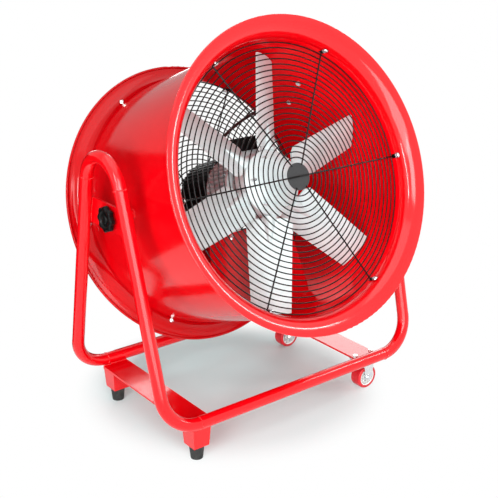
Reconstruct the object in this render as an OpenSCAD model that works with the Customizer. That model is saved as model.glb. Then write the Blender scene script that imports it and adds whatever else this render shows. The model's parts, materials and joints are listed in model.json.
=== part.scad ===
// Portable drum ventilator on a wheeled tube cradle.
// Millimetres, +Z up, floor at z = 0, the discharge side faces -Y.

/* [Drum] */
// Inner radius of the barrel
barrel_ir = 302; // [301:1:303]
// Sheet thickness of the barrel and the bell mouths
sheet = 2; // [1.5:0.1:2.5]
// Half the length of the drum, lip to centre
half_len = 234; // [225:1:245]
// Outer radius of the rolled lips
lip_or = 345; // [342:1:348]
// Radius of the rolled bead on each lip
bead_r = 3; // [2:0.5:4]
// Height of the tilt axis above the floor
pivot_h = 528.5; // [522:0.5:535]
// Tilt of the drum, discharge side raised
tilt = 20.9; // [0:0.1:45]

/* [Guards] */
// Number of concentric wire rings in a guard
ring_count = 22; // [16:1:22]
// Radius of the smallest ring
ring_first = 42; // [40:1:43]
// Distance from ring to ring
ring_pitch = 12.1; // [11.5:0.1:12.1]
// Radius of the ring wire
ring_wire = 1.4; // [0.9:0.1:1.5]
// Radius of the spoke wire
spoke_wire = 1.7; // [1.5:0.1:2.2]
// Axial place of the smallest ring
ring_face = 199; // [190:0.5:200]
// How far the guard falls back from its middle to its edge
guard_fall = 14; // [8:1:18]
// Axial place of the guard screws
screw_s = 202; // [200:1:206]

/* [Impeller] */
// Tip radius of the blades
tip_r = 293; // [285:1:296]
// Chord of a blade at its root
root_chord = 104; // [96:1:106]
// Chord of a blade at its tip
tip_chord = 88; // [80:1:92]
// Blade pitch from the plane of rotation
blade_pitch = 33; // [25:1:40]
// Angle of the first blade as parked
blade_start = 16.2; // [0:0.1:60]
// Axial place of the blade roots
blade_s = 90; // [88:1:92]
// Number of blades
blade_count = 6; // [4:1:6]

/* [Cradle] */
// Outer radius of the bent tube
tube_r = 14.5; // [13:0.5:16]
// Wall of the bent tube
tube_wall = 2; // [1.5:0.5:3]
// Half width of the cradle at the rails
low_w = 359.4; // [357:0.2:364]
// Half width of the cradle at the reference height of the legs
top_w = 373.2; // [371:0.2:380]
// Reference height of the legs
leg_ref_z = 650; // [640:1:660]
// Half distance between the legs at that height
leg_ref_y = 58.9; // [56:0.1:62]
// Half distance between the front and rear rails
rail_y = 198.6; // [190:0.2:210]
// Height of the rail centres
rail_z = 100.7; // [98:0.1:104]
// Bend radius at the top of an arch
top_bend = 71.8; // [66:0.2:76]
// Bend radius at the lower corners
low_bend = 83.5; // [75:0.5:90]

/* [Base] */
// Width of the runner plates
runner_w = 66; // [62:1:75]
// Half length of the runner plates
runner_y = 191; // [188:1:200]
// Thickness of the runner plates
runner_t = 5; // [4:0.5:6]
// Place of the left runner
left_x = -259; // [-265:1:-250]
// Place of the right runner
right_x = 258; // [245:1:265]
// Place of the feet
foot_x = -267; // [-272:1:-260]
// Distance of the feet from the middle
foot_y = 170; // [160:1:175]
// Side of the square foot posts at the top
post_w = 46; // [42:1:50]
// Side of the square foot posts at the bottom
post_low_w = 40; // [38:1:44]
// Height of the rubber feet
foot_h = 33; // [28:1:38]
// Distance of the wheels from the middle
wheel_y = 152; // [140:1:160]
// Radius of the wheels
wheel_r = 30; // [28:0.5:32]
// Width of the wheel treads
wheel_w = 30; // [26:1:32]

/* [Hidden] */
$fn = 48;
fine = 180;

red = [0.86, 0.04, 0.05];
black = [0.06, 0.06, 0.06];
zinc = [0.75, 0.76, 0.78];
alloy = [0.82, 0.83, 0.84];
grey = [0.45, 0.47, 0.48];
steel = [0.6, 0.61, 0.63];

// Fits
slip = 0.05;   // radial clearance of a running fit
ease = 0.1;    // radial clearance of a seated pin
gap = 0.3;     // clearance between faces that move past each other
plug = 0.2;    // step in radius where a straight tube enters a bend

// Drum
barrel_or = barrel_ir + sheet;
flare_mid = lip_or - sheet / 2 - (barrel_ir + sheet / 2) - 1;
flare_r0 = barrel_ir + sheet / 2 + flare_mid;
bell_s = half_len - sheet / 2 - flare_mid;

// Guards
spoke_count = 6;
disc_r = 30;
disc_t = 2;
tab_w = 10;
tab_t = 1.5;
tab_or = barrel_ir - gap;
screw_r = 3;
screw_hole = 3.2;
screw_head = 7;
nut_r = 5.8;
nut_h = 5;
nut_seat = 307;
function ring_rad(k) = ring_first + k * ring_pitch;
ring_last = ring_rad(ring_count - 1);
ring_slope = guard_fall / (ring_last - ring_first);
function ring_s(r) = ring_face - (r - ring_first) * ring_slope;
spoke_lift = ring_wire + spoke_wire + 0.03;
function spoke_s(r) = ring_s(r) + spoke_lift;
disc_s = spoke_s(disc_r) - spoke_wire - 0.05 - disc_t;

// Impeller and shaft
shaft_r = 12;
journal_r = 12.5;
core_r = 16;
tail_r = 10;
shaft_end = 101;
shaft_tail = -118;
hub_r = 74;
hub_back = 60;
hub_boss = 24;
hub_face = 102.5;
hub_pocket = 28;
dome_r = 140;
dome_top = 126;
stem_r = 13;
stem_in = 44;
root_r = 79;
blade_t = 4.5;
camber_r = 320;
hub_bolt_pcd = 60;
key_w = 8;

// Motor
frame_s0 = -38;
frame_s1 = 36;
frame_r = 70;
bore_r = 62;
fin_r = 84;
fin_t = 3;
fin_count = 48;
shield_r = 80.8;
cowl_r = 83;
cowl_t = 2;
cowl_s0 = -154;
cowl_s1 = -40;
rib_r = 85.5;
rib_t = 3;
rib_count = 48;
seat_r = 26;
bearing_w = 15;
shaft_h = 90;
lug_x = 70;
lug_s = [-64, 0];
core_s = -26;
core_len = 50;
coil_len = 10;
box_w = 34;
box_s0 = -42;
box_s1 = 36;
box_y0 = 85;
box_y1 = 113;
box_wall = 3;
gland_r = 9;
gland_len = 20;
cable_r = 4;
gland_bore = cable_r + ease;
pedestal_w = 118;
pedestal_low_w = 138;
pedestal_t = 4;
pedestal_s = [-84, 14];
web_s = [-84, -24];

// Switch box on the drum's far side
switch_ang = 43.5;
switch_s = -15.6;
switch_half_l = 51;
switch_half_w = 35;
switch_or = 350;
switch_floor = 313;
switch_bolt = 42.8;
switch_bolt_ang = 4.1;
supply_z = 30;
gland_out = 338.5;
window_l = 22;
window_w = 14;
rocker_l = 18;
rocker_w = 12;

// Cable from the terminal box through the barrel to the switch box: x, height, axial place
grommet_r = 7;
grommet_s = -140;
cable_turn = gland_out - barrel_or - 3;
function rim(r, s) = [r * cos(switch_ang), r * sin(switch_ang), s];
cable_path = concat(
    [
        [0, 100, -36], [0, 100, -66], [2, 101.5, -78], [8, 107, -90], [18, 116, -99], [32, 126, -105],
        [50, 137, -110], [80, 152, -117], [120, 168, -125.5], [160, 181, -133.5], [184, 187.5, -138]
    ],
    [rim(barrel_ir - 17, grommet_s), rim(barrel_or + 3, grommet_s)],
    [for (a = [15:15:90]) rim(barrel_or + 3 + cable_turn * sin(a), grommet_s + cable_turn * (1 - cos(a)))],
    [for (z = [-gland_len, 8]) rim(gland_out, switch_s - switch_half_l + z)]
);

// Pivots
boss_r = 9;
stud_r = 6;
washer_r = 16;
washer_t = 3;
plate_x = 353;
plate_t = 5;
plate_half_h = 29;
boss_x = plate_x - gap - washer_t;
knob_x = plate_x + plate_t + gap;
knob_r = 29;
knob_h = 12;
knob_neck = 5;
knob_lobes = 8;
knob_bore = 12;

// Cradle
function unit(v) = v / norm(v);
lean = atan((top_w - low_w) / (leg_ref_z - rail_z));
leg_len = norm([top_w - low_w, leg_ref_z - rail_z]);
leg_ang = atan((rail_y - leg_ref_y) / leg_len);
arch_h = leg_len - (top_bend - leg_ref_y * cos(leg_ang)) / sin(leg_ang);
leg_dx = sin(lean) * cos(leg_ang);
leg_down = norm([sin(leg_ang), cos(lean) * cos(leg_ang)]);
corner_ang = atan(tan(leg_ang) / cos(lean));
turn = 90 - atan(leg_dx / leg_down);
set_back = low_bend * tan(turn / 2);
leg_run = (arch_h + top_bend * sin(leg_ang)) / cos(leg_ang) - set_back;
rail_end = low_w - set_back;
rail_half = rail_end - 0.05;

// Base
plate_top = rail_z - tube_r;
plate_low = plate_top - runner_t;
caster_t = 3;
axle_r = 4;
fork_gap = wheel_w / 2 + 1.5;
fork_t = 3;
wheel_core_r = 23;
caster_half = 33;
caster_bolt_x = 27;
caster_bolt_y = 4;
bolt_r = 4;
head_r = 6.5;
post_wall = 3;
foot_low_r = 14;
foot_top_r = 17.5;
spigot_r = 7;

// Frame of the drum: x right, y up across the drum, z along the axis to the front
module drum_frame() {
    translate([0, 0, pivot_h]) rotate([90 - tilt, 0, 0]) children();
}

// Frame of an arch: x across the cradle, z up along the leaning plane of the legs
module arch_frame(sx) {
    translate([sx * low_w, 0, rail_z]) rotate([0, sx * lean, 0]) children();
}

// Bow over the top of an arch
module arch_bow(sx, r) {
    arch_frame(sx) translate([0, 0, arch_h]) rotate([90, 0, 90]) rotate([0, 0, leg_ang])
        rotate_extrude(angle = 180 - 2 * leg_ang) translate([top_bend, 0]) circle(r = r);
}

// The two straight legs, run a little way into the bends at both ends
module arch_legs(sx, r, extra) {
    low = set_back - extra;
    arch_frame(sx) for (sy = [-1, 1]) translate([0, sy * (rail_y - low * sin(leg_ang)), low * cos(leg_ang)])
        rotate([sy * leg_ang, 0, 0]) cylinder(r = r, h = leg_run + 2 * extra);
}

// Lower corners that turn the legs into the rails
module arch_corners(sx, r) {
    for (sy = [-1, 1]) translate([sx * low_w, sy * rail_y, rail_z]) rotate([sy * corner_ang, 0, 0])
        translate([-sx * set_back, 0, low_bend]) rotate([90, 0, 0])
            rotate([0, 0, sx > 0 ? -90 : 270 - turn])
            rotate_extrude(angle = turn) translate([low_bend, 0]) circle(r = r);
}

// One bent tube: two legs, the bow over the top and the lower corners
module arch(sx) {
    inner = tube_r - tube_wall;
    color(red) difference() {
        union() {
            arch_bow(sx, tube_r);
            arch_corners(sx, tube_r);
            arch_legs(sx, tube_r - plug, 2);
        }
        union() {
            arch_bow(sx, inner);
            arch_corners(sx, inner);
            arch_legs(sx, inner - plug, 2);
            for (sy = [-1, 1]) translate([sx * (rail_end - 2), sy * rail_y, rail_z]) rotate([0, sx * 90, 0])
                cylinder(r = inner - plug, h = 3);
        }
    }
}

module rail(sy) {
    color(red) translate([0, sy * rail_y, rail_z]) rotate([0, 90, 0]) difference() {
        cylinder(r = tube_r, h = 2 * rail_half, center = true);
        cylinder(r = tube_r - tube_wall, h = 2 * rail_end + 2, center = true);
    }
}

module runner(x, bolted) {
    color(red) difference() {
        translate([x - runner_w / 2, -runner_y, plate_low]) cube([runner_w, 2 * runner_y, runner_t]);
        if (bolted) at_caster_bolts()
            translate([0, 0, plate_low - 1]) cylinder(r = bolt_r + ease, h = runner_t + 2);
    }
}

// Tapered square block: the meeting of two upright wedges
module taper_block(low, top, h) {
    wedge = [[-low / 2, 0], [low / 2, 0], [top / 2, h], [-top / 2, h]];
    intersection() {
        translate([0, top, 0]) rotate([90, 0, 0]) linear_extrude(2 * top) polygon(wedge);
        translate([-top, 0, 0]) rotate([90, 0, 90]) linear_extrude(2 * top) polygon(wedge);
    }
}

module at_feet() {
    for (sy = [-1, 1]) translate([foot_x, sy * foot_y, 0]) children();
}

module foot_posts() {
    inside = post_low_w - 2 * post_wall;
    color(red) at_feet() translate([0, 0, foot_h]) difference() {
        taper_block(post_low_w, post_w, plate_low - foot_h);
        translate([-inside / 2, -inside / 2, post_wall]) cube([inside, inside, plate_low]);
        translate([0, 0, -1]) cylinder(r = spigot_r + ease, h = post_wall + 3);
    }
}

// Solid rubber feet with a spigot pressed up into the post
module rubber_feet() {
    color(black) at_feet() {
        cylinder(r1 = foot_low_r, r2 = foot_top_r, h = foot_h);
        translate([0, 0, foot_h - 1]) cylinder(r = spigot_r, h = post_wall + 6);
    }
}

// Plate between the legs of an arch, coped to the tubes and bored for the tilt stud
module pivot_plate(sx) {
    reach = leg_ref_y + (leg_ref_z - pivot_h) * tan(leg_ang);
    spread = plate_half_h * tan(leg_ang);
    x0 = sx > 0 ? plate_x : -plate_x - plate_t;
    color(red) difference() {
        translate([x0, 0, pivot_h]) rotate([90, 0, 90]) linear_extrude(plate_t) polygon([
            [-reach - spread, -plate_half_h], [reach + spread, -plate_half_h],
            [reach - spread, plate_half_h], [-reach + spread, plate_half_h]
        ]);
        arch_legs(sx, tube_r + plug, 0);
        translate([x0 - 1, 0, pivot_h]) rotate([0, 90, 0]) cylinder(r = stud_r + slip, h = plate_t + 2);
    }
}

module at_wheels() {
    for (sy = [-1, 1]) translate([right_x, sy * wheel_y, 0]) rotate([0, 0, sy > 0 ? 180 : 0]) children();
}

// One cheek of a caster fork, wider at the top
module fork_ear() {
    top = plate_low - caster_t + 0.5;
    half = 17;
    tip = 11;
    rotate([90, 0, 0]) linear_extrude(fork_t) difference() {
        union() {
            polygon([[-half, top], [half, top], [tip, wheel_r], [-tip, wheel_r]]);
            translate([0, wheel_r]) circle(r = tip);
        }
        translate([0, wheel_r]) circle(r = axle_r + ease);
    }
}

module caster_forks() {
    color(zinc) at_wheels() {
        difference() {
            translate([-caster_half, -fork_gap - fork_t, plate_low - caster_t])
                cube([2 * caster_half, 2 * (fork_gap + fork_t), caster_t]);
            for (sx = [-1, 1]) translate([sx * caster_bolt_x, caster_bolt_y, plate_low - caster_t - 1])
                cylinder(r = bolt_r + ease, h = caster_t + 2);
        }
        for (y = [-fork_gap, fork_gap + fork_t]) translate([0, y, 0]) fork_ear();
    }
}

module caster_axles() {
    head = 4;
    reach = fork_gap + fork_t + ease;
    color(zinc) at_wheels() translate([0, 0, wheel_r]) rotate([90, 0, 0]) {
        cylinder(r = axle_r, h = 2 * reach + 8, center = true);
        translate([0, 0, reach]) cylinder(r = 7, h = head);
        translate([0, 0, -reach - head]) cylinder(r = 7, h = head, $fn = 6);
    }
}

module at_caster_bolts() {
    at_wheels() for (sx = [-1, 1]) translate([sx * caster_bolt_x, caster_bolt_y, 0]) children();
}

module caster_bolts() {
    color(zinc) at_caster_bolts() {
        translate([0, 0, plate_top]) cylinder(r = head_r, h = 5.5, $fn = 6);
        translate([0, 0, plate_low - 14]) cylinder(r = bolt_r, h = 14 + runner_t);
    }
}

module caster_nuts() {
    color(zinc) at_caster_bolts() translate([0, 0, plate_low - caster_t - 6.6]) difference() {
        cylinder(r = head_r, h = 6.5, $fn = 6);
        translate([0, 0, -1]) cylinder(r = bolt_r + ease, h = 9);
    }
}

module wheel_place(sy) {
    translate([right_x, sy * wheel_y, wheel_r]) rotate([90, 0, 0]) children();
}

// Spoked plastic centre, recessed on both faces
module wheel_core(sy) {
    half = wheel_w / 2 - 1;
    color([0.88, 0.88, 0.87]) wheel_place(sy) difference() {
        cylinder(r = wheel_core_r - 0.02, h = 2 * half, center = true);
        cylinder(r = axle_r + slip, h = 2 * half + 2, center = true);
        for (side = [-1, 1], a = [0:45:315]) rotate([0, 0, a]) translate([14.5, 0, side * half])
            cylinder(r = 4.2, h = 16, center = true);
    }
}

module wheel_tread(sy) {
    soft = 4;
    w = wheel_w / 2;
    color(red) wheel_place(sy) rotate_extrude() difference() {
        translate([wheel_core_r, -w]) square([wheel_r - wheel_core_r, 2 * w]);
        for (side = [-1, 1]) translate([wheel_r - soft, side * (w - soft)]) difference() {
            translate([0, side > 0 ? 0 : -soft - 1]) square([soft + 1, soft + 1]);
            circle(r = soft);
        }
    }
}

// Lobed clamping knob on a tilt stud
module knob(sx) {
    color(black) translate([0, 0, pivot_h]) rotate([0, sx * 90, 0]) translate([0, 0, knob_x]) difference() {
        union() {
            cylinder(r = 14, h = knob_neck + 1);
            translate([0, 0, knob_neck]) cylinder(r = knob_r - 5, h = knob_h);
            for (i = [0:knob_lobes - 1]) rotate([0, 0, i * 360 / knob_lobes])
                translate([knob_r - 6, 0, knob_neck]) cylinder(r = 6, h = knob_h);
        }
        translate([0, 0, -1]) cylinder(r = stud_r + slip, h = knob_bore + 1);
    }
}

// Rolled shell between the bell mouths
module barrel() {
    color(red) drum_frame() difference() {
        cylinder(r = barrel_or, h = 2 * bell_s, center = true, $fn = fine);
        cylinder(r = barrel_ir, h = 2 * bell_s + 2, center = true, $fn = fine);
        at_grommet() cylinder(r = grommet_r + ease, h = barrel_or + 5);
        at_switch_bolts() cylinder(r = screw_hole, h = barrel_or + 5);
    }
}

// Quarter-round bell mouth with a rolled lip and six screw holes
module bell_mouth() {
    difference() {
        rotate_extrude() union() {
            translate([flare_r0, bell_s]) intersection() {
                difference() {
                    circle(r = flare_mid + sheet / 2);
                    circle(r = flare_mid - sheet / 2);
                }
                translate([-flare_mid - sheet, 0]) square(flare_mid + sheet);
            }
            translate([lip_or - bead_r, half_len - bead_r]) circle(r = bead_r);
        }
        at_spokes() translate([0, 0, screw_s]) rotate([0, 90, 0]) cylinder(r = screw_hole, h = lip_or);
    }
}

module front_bell() { color(red) drum_frame() bell_mouth(); }

module rear_bell() { color(red) drum_frame() rotate([180, 0, 0]) bell_mouth(); }

module at_spokes() {
    for (i = [0:spoke_count - 1]) rotate([0, 0, i * 360 / spoke_count]) children();
}

module guard_rings() {
    for (k = [0:ring_count - 1]) rotate_extrude()
        translate([ring_rad(k), ring_s(ring_rad(k))]) circle(r = ring_wire);
}

// A spoke wire between two radii, lying on the cone of the rings
module spoke(r_in, r_out) {
    fall = spoke_s(r_in) - spoke_s(r_out);
    run = r_out - r_in;
    translate([r_in, 0, spoke_s(r_in)]) rotate([0, 90 + atan(fall / run), 0])
        cylinder(r = spoke_wire, h = norm([run, fall]));
}

// Six spokes with flattened ends that turn along the wall to the screws
module guard_frame() {
    tab_s = spoke_s(tab_or) - 3;
    difference() {
        union() {
            at_spokes() {
                spoke(disc_r - 3, tab_or - tab_t / 2);
                translate([tab_or - tab_t, -tab_w / 2, tab_s]) cube([tab_t, tab_w, screw_s + 6 - tab_s]);
            }
            for (a = [0, 180]) rotate([0, 0, a]) spoke(0, disc_r);
        }
        at_spokes() translate([tab_or - 10, 0, screw_s])
            rotate([0, 90, 0]) cylinder(r = screw_hole, h = 20);
    }
}

module front_guard_rings() { color(black) drum_frame() guard_rings(); }

module rear_guard_rings() { color(black) drum_frame() rotate([180, 0, 0]) guard_rings(); }

module front_guard_frame() { color(black) drum_frame() guard_frame(); }

module rear_guard_frame() { color(black) drum_frame() rotate([180, 0, 0]) guard_frame(); }

module both_ends() {
    for (flip = [0, 180]) rotate([flip, 0, 0]) children();
}

module guard_discs() {
    color([0.25, 0.25, 0.26]) drum_frame() both_ends()
        translate([0, 0, disc_s]) cylinder(r = disc_r, h = disc_t);
}

module at_guard_screws() {
    both_ends() at_spokes() translate([0, 0, screw_s]) rotate([0, 90, 0]) children();
}

// Domed screws from inside the mouth, with nuts behind the bell
module guard_screws() {
    seat = tab_or - tab_t;
    head_h = 4;
    dome = (screw_head * screw_head + head_h * head_h) / (2 * head_h);
    color(zinc) drum_frame() at_guard_screws() {
        translate([0, 0, seat - 0.5]) cylinder(r = screw_r, h = nut_seat + nut_h + 2 - seat);
        intersection() {
            translate([0, 0, seat - head_h + dome]) sphere(r = dome);
            translate([0, 0, seat - head_h]) cylinder(r = screw_head, h = head_h);
        }
    }
}

module guard_nuts() {
    color(zinc) drum_frame() at_guard_screws() translate([0, 0, nut_seat]) difference() {
        cylinder(r = nut_r, h = nut_h, $fn = 6);
        translate([0, 0, -1]) cylinder(r = screw_r + ease, h = nut_h + 2);
    }
}

// Tilt axis seen from the drum's frame
module at_pivots() {
    for (sx = [-1, 1]) rotate([0, sx * 90, 0]) children();
}

module pivot_bosses() {
    color(red) drum_frame() difference() {
        at_pivots() translate([0, 0, barrel_ir - 6]) cylinder(r = boss_r, h = boss_x - barrel_ir + 6);
        cylinder(r = barrel_or, h = 8 * boss_r, center = true, $fn = fine);
        at_pivots() translate([0, 0, barrel_or + 5]) cylinder(r = stud_r + plug, h = boss_x);
    }
}

module pivot_studs() {
    color(zinc) drum_frame() at_pivots() translate([0, 0, barrel_or + 5])
        cylinder(r = stud_r, h = knob_x + knob_bore - 1 - barrel_or - 5);
}

module pivot_washers() {
    color([0.9, 0.89, 0.84]) drum_frame() at_pivots() translate([0, 0, boss_x]) difference() {
        cylinder(r = washer_r, h = washer_t);
        translate([0, 0, -1]) cylinder(r = stud_r + ease, h = washer_t + 2);
    }
}

// Stand under the motor: a top plate on two cross plates trimmed to the barrel's curve
module motor_pedestal() {
    top = -shaft_h - 1;
    color(red) drum_frame() difference() {
        union() {
            translate([-pedestal_w, -shaft_h - pedestal_t, pedestal_s[0]])
                cube([2 * pedestal_w, pedestal_t, pedestal_s[1] - pedestal_s[0]]);
            for (s = web_s) intersection() {
                translate([0, 0, s]) linear_extrude(pedestal_t) polygon([
                    [-pedestal_w, top], [pedestal_w, top],
                    [pedestal_low_w, -barrel_ir], [-pedestal_low_w, -barrel_ir]
                ]);
                cylinder(r = barrel_ir, h = 1000, center = true, $fn = fine);
            }
        }
        at_motor_bolts() translate([0, 0, -20]) cylinder(r = screw_r + 1 + ease, h = 40);
    }
}

module at_motor_bolts() {
    for (sx = [-1, 1], s = lug_s) translate([sx * lug_x, -shaft_h, s]) rotate([90, 0, 0]) children();
}

// Ribbed motor body with cast feet and a pad for the terminal box
module motor_frame() {
    len = frame_s1 - frame_s0;
    lug_len = lug_s[1] - lug_s[0] + 26;
    color(grey) drum_frame() difference() {
        union() {
            translate([0, 0, frame_s0]) cylinder(r = frame_r, h = len);
            for (i = [0:fin_count - 1]) {
                a = i * 360 / fin_count;
                if (abs(a - 90) > 35 && abs(a - 270) > 35) rotate([0, 0, a])
                    translate([frame_r - 1, -fin_t / 2, frame_s0 + 2])
                        cube([fin_r - frame_r + 1, fin_t, len - 4]);
            }
            for (sx = [-1, 1]) {
                translate([sx * 68 - 20, -shaft_h, lug_s[0] - 13]) cube([40, 11, lug_len]);
                translate([sx * 54 - 6, -shaft_h, frame_s0 + 4]) cube([12, 50, lug_s[1] + 4 - frame_s0]);
            }
            translate([-36, 60, frame_s0 + 3]) cube([72, box_y0 - 60, len - 7]);
        }
        translate([0, 0, frame_s0 - 1]) cylinder(r = bore_r + 0.02, h = len + 2);
        at_motor_bolts() translate([0, 0, -20]) cylinder(r = screw_r + 1 + ease, h = 30);
    }
}

module motor_bolts() {
    color(zinc) drum_frame() at_motor_bolts() {
        translate([0, 0, -11 - 6]) cylinder(r = 7.5, h = 6, $fn = 6);
        translate([0, 0, -11]) cylinder(r = screw_r + 1, h = 11 + pedestal_t + 12);
        translate([0, 0, pedestal_t]) cylinder(r = 7.5, h = 7, $fn = 6);
    }
}

// End shields with bearing seats: profile as radius and axial place, then turned
module motor_front_shield() {
    s = frame_s1;
    color(grey) drum_frame() rotate_extrude() polygon([
        [journal_r + 1, s + 16], [34, s + 16], [shield_r, s + 8], [shield_r, s], [34, s], [34, s - 6],
        [seat_r + 0.02, s - 6], [seat_r + 0.02, s + 10], [journal_r + 1, s + 10]
    ]);
}

module motor_rear_shield() {
    s = frame_s0;
    color(grey) drum_frame() rotate_extrude() polygon([
        [journal_r + 1, s - 14], [34, s - 14], [shield_r, s - 8], [shield_r, s], [34, s], [34, s + 6],
        [seat_r + 0.02, s + 6], [seat_r + 0.02, s - 10], [journal_r + 1, s - 10]
    ]);
}

module motor_bearings() {
    seats = [frame_s1 - 5.5, frame_s0 - 9.5];
    color(steel) drum_frame() for (s = seats) translate([0, 0, s]) rotate_extrude() difference() {
        translate([journal_r + 0.03, 0]) square([seat_r - journal_r - 0.03, bearing_w]);
        for (z = [-1, bearing_w - 1]) translate([17, z]) square([4.5, 2]);
    }
}

module stator_core() {
    color(steel) drum_frame() translate([0, 0, core_s]) difference() {
        cylinder(r = bore_r, h = core_len);
        translate([0, 0, -1]) cylinder(r = 40, h = core_len + 2);
    }
}

module stator_windings() {
    ends = [core_s - coil_len - 0.5, core_s + core_len + 0.5];
    color([0.72, 0.38, 0.18]) drum_frame() for (s = ends) translate([0, 0, s]) rotate_extrude()
        translate([44, 0]) square([15, coil_len]);
}

// Ribbed cup over the cooling fan, with air holes in its end
module fan_cowl() {
    soft = 4;
    color(black) drum_frame() difference() {
        union() {
            rotate_extrude() difference() {
                cowl_profile(cowl_r, cowl_s0, soft);
                cowl_profile(cowl_r - cowl_t, cowl_s0 + cowl_t, soft - cowl_t);
            }
            for (i = [0:rib_count - 1]) rotate([0, 0, i * 360 / rib_count])
                translate([cowl_r - 1, -rib_t / 2, cowl_s0 + soft])
                    cube([rib_r - cowl_r + 1, rib_t, cowl_s1 - cowl_s0 - 2 * soft]);
        }
        for (row = [[32, 10], [52, 16], [68, 22]], i = [0:row[1] - 1]) rotate([0, 0, i * 360 / row[1]])
            translate([row[0], 0, cowl_s0 - 1]) cylinder(r = 4, h = 12);
    }
}

module cowl_profile(r, s, soft) {
    translate([0, s + soft]) square([r, cowl_s1 - s - soft]);
    translate([0, s]) square([r - soft, soft + 1]);
    translate([r - soft, s + soft]) circle(r = soft);
}

module terminal_box() {
    color(black) drum_frame() difference() {
        translate([-box_w, box_y0, box_s0]) cube([2 * box_w, box_y1 - box_y0, box_s1 - box_s0]);
        translate([-box_w + box_wall, box_y0 + box_wall, box_s0 + box_wall])
            cube([2 * (box_w - box_wall), box_y1 - box_y0, box_s1 - box_s0 - 2 * box_wall]);
        translate([0, cable_path[0][1], box_s0 - 1]) cylinder(r = gland_bore + 1, h = box_wall + 2);
    }
}

module terminal_lid() {
    over = 1;
    color(black) drum_frame() translate([-box_w - over, box_y1, box_s0 - over])
        cube([2 * (box_w + over), 3, box_s1 - box_s0 + 2 * over]);
}

// Hexagon gland body with a domed nut; the mouth points to -Z
module gland() {
    difference() {
        union() {
            translate([0, 0, -gland_len]) cylinder(r1 = gland_r - 2.5, r2 = gland_r, h = 8);
            translate([0, 0, -12]) cylinder(r = gland_r, h = 6);
            translate([0, 0, -6]) cylinder(r = gland_r + 2, h = 6, $fn = 6);
        }
        translate([0, 0, -gland_len - 1]) cylinder(r = gland_bore, h = gland_len + 2);
    }
}

module cable_glands() {
    color(black) drum_frame() {
        translate([0, cable_path[0][1], box_s0]) gland();
        at_switch() translate([gland_out, 0, -switch_half_l]) gland();
        at_switch() translate([gland_out, -switch_half_w, supply_z]) rotate([-90, 0, 0]) gland();
        at_grommet() difference() {
            union() {
                translate([0, 0, barrel_ir - 2]) cylinder(r = grommet_r, h = sheet + 4);
                translate([0, 0, barrel_or + ease]) cylinder(r = grommet_r + 3, h = 2.5);
            }
            cylinder(r = gland_bore, h = gland_out);
        }
    }
}

// Round cable swept along its path, eight sides
module motor_cable() {
    n = 8;
    pts = cable_path;
    last = len(pts) - 1;
    dirs = [for (i = [0:last]) unit(pts[min(i + 1, last)] - pts[max(i - 1, 0)])];
    ref = unit([1, -1, 0.3]);
    rings = [for (i = [0:last]) let (u = unit(cross(dirs[i], ref)), w = cross(dirs[i], u))
        for (k = [0:n - 1]) pts[i] + cable_r * (cos(k * 360 / n) * u + sin(k * 360 / n) * w)];
    walls = [for (i = [0:last - 1], k = [0:n - 1]) let (m = (k + 1) % n)
        each [[i * n + k, i * n + m, (i + 1) * n + m], [i * n + k, (i + 1) * n + m, (i + 1) * n + k]]];
    ends = [[for (k = [n - 1:-1:0]) k], [for (k = [0:n - 1]) last * n + k]];
    turned = [for (f = concat(walls, ends)) [for (j = [len(f) - 1:-1:0]) f[j]]];
    color(black) drum_frame() polyhedron(points = rings, faces = turned);
}

// Frame of the switch box: x points out of the barrel, z along the drum
module at_switch() {
    rotate([0, 0, switch_ang]) translate([0, 0, switch_s]) children();
}

// Two bolts at opposite corners of the switch box, radial to the barrel
module at_switch_bolts() {
    for (k = [-1, 1]) rotate([0, 0, k * switch_bolt_ang]) at_switch() translate([0, 0, k * switch_bolt])
        rotate([0, 90, 0]) children();
}

// Place where the cable passes through the barrel, z pointing outwards
module at_grommet() {
    rotate([0, 0, switch_ang]) translate([0, 0, grommet_s]) rotate([0, 90, 0]) children();
}

module switch_box() {
    l = switch_half_l;
    w = switch_half_w;
    hole = gland_bore + 1;
    color(black) drum_frame() difference() {
        at_switch() translate([barrel_ir - 8, -w, -l]) cube([switch_or - barrel_ir + 8, 2 * w, 2 * l]);
        cylinder(r = barrel_or + 0.02, h = 400, center = true, $fn = 2 * fine);
        at_switch() translate([switch_floor, -w + box_wall, -l + box_wall])
            cube([100, 2 * (w - box_wall), 2 * (l - box_wall)]);
        at_switch_bolts() cylinder(r = screw_r + ease, h = switch_floor - 0.6);
        at_switch() translate([gland_out, 0, -l - 1]) cylinder(r = hole, h = box_wall + 2);
        at_switch() translate([gland_out, -w - 1, supply_z])
            rotate([-90, 0, 0]) cylinder(r = hole, h = box_wall + 2);
    }
}

module switch_lid() {
    color(black) drum_frame() at_switch() difference() {
        translate([switch_or, -switch_half_w - 1, -switch_half_l - 1])
            cube([3, 2 * switch_half_w + 2, 2 * switch_half_l + 2]);
        translate([switch_or - 1, -window_w / 2, -window_l / 2]) cube([6, window_w, window_l]);
    }
}

module switch_box_bolts() {
    seat = barrel_ir - ease;
    color(zinc) drum_frame() at_switch_bolts() {
        translate([0, 0, seat - 0.5]) cylinder(r = screw_r, h = 10);
        translate([0, 0, seat - 5.5]) cylinder(r = 6.5, h = 5, $fn = 6);
    }
}

// Rocker of the power switch, turning about the crosswise axis of its window
module switch_rocker() {
    color([0.75, 0.05, 0.05]) drum_frame() at_switch()
        translate([switch_or, rocker_w / 2, 0]) rotate([90, 0, 0])
        linear_extrude(rocker_w) polygon([
            [-6, -7], [-6, 7], [3.5, rocker_l / 2], [5.5, rocker_l / 2],
            [3.8, 0], [8, -rocker_l / 2], [3.5, -rocker_l / 2]
        ]);
}

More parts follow.
